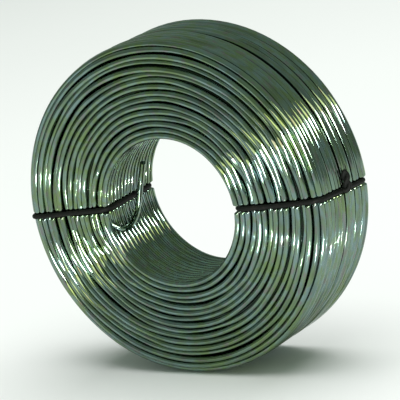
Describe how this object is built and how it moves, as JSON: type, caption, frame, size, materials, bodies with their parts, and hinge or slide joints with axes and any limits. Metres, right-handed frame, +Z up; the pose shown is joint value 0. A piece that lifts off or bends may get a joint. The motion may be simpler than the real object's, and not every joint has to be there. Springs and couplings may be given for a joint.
{
  "type": "coil of tie wire",
  "caption": "Small tight coil of bright steel wire, wound in layers round an open bore and tied twice with dark wire.",
  "frame": {"origin": "the point of the rim that touches the floor, under the middle of the coil's width", "axes": "+Z up, the coil's own axis along Y, its front end towards -Y"},
  "size_m": [0.1206, 0.0324, 0.1143],
  "materials": {
    "bright_wire": "drawn and galvanised, semi-gloss",
    "dark_wire": "black annealed"
  },
  "bodies": {
    "root": {"wire_coil": "bright_wire", "right_tie": "dark_wire", "left_tie": "dark_wire"}
  },
  "joints": []
}
